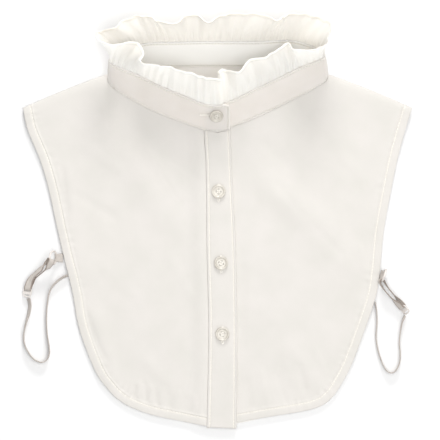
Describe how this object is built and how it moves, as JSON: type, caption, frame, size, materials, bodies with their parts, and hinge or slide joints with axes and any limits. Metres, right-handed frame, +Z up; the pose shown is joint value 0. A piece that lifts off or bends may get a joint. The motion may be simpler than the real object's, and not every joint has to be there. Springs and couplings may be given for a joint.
{
  "type": "detachable ruffled collar",
  "caption": "Detachable shirt collar with a gathered ruffle on a band, a buttoned bib front and adjustable elastic side straps, laid flat.",
  "frame": {"origin": "centre of the laid-out collar's bounding box, on the surface that it lies on", "axes": "+Y runs up the garment from the hem to the neck, +X to the viewer's right, +Z up off the surface, out of the front"},
  "size_m": [0.3312, 0.3525, 0.0502],
  "materials": {
    "shirting": "plain-weave ivory white shirting, pressed, faintly sheer at the ruffle",
    "button": "pearly polyester, polished, with a rim",
    "elastic": "knitted greige elastic webbing",
    "coated_metal": "nylon-coated metal, satin"
  },
  "bodies": {
    "root": {"back_panel": "shirting", "front_right": "shirting", "front_left": "shirting", "placket": "shirting", "collar_band": "shirting", "ruffle": "shirting", "button_1": "button", "button_2": "button", "button_3": "button", "button_4": "button", "strap_tab_left": "elastic", "strap_ring_left": "coated_metal", "strap_slider_left": "coated_metal", "strap_loop_left": "elastic", "strap_elastic_left": "elastic", "strap_tab_right": "elastic", "strap_ring_right": "coated_metal", "strap_slider_right": "coated_metal", "strap_loop_right": "elastic", "strap_elastic_right": "elastic"}
  },
  "joints": []
}
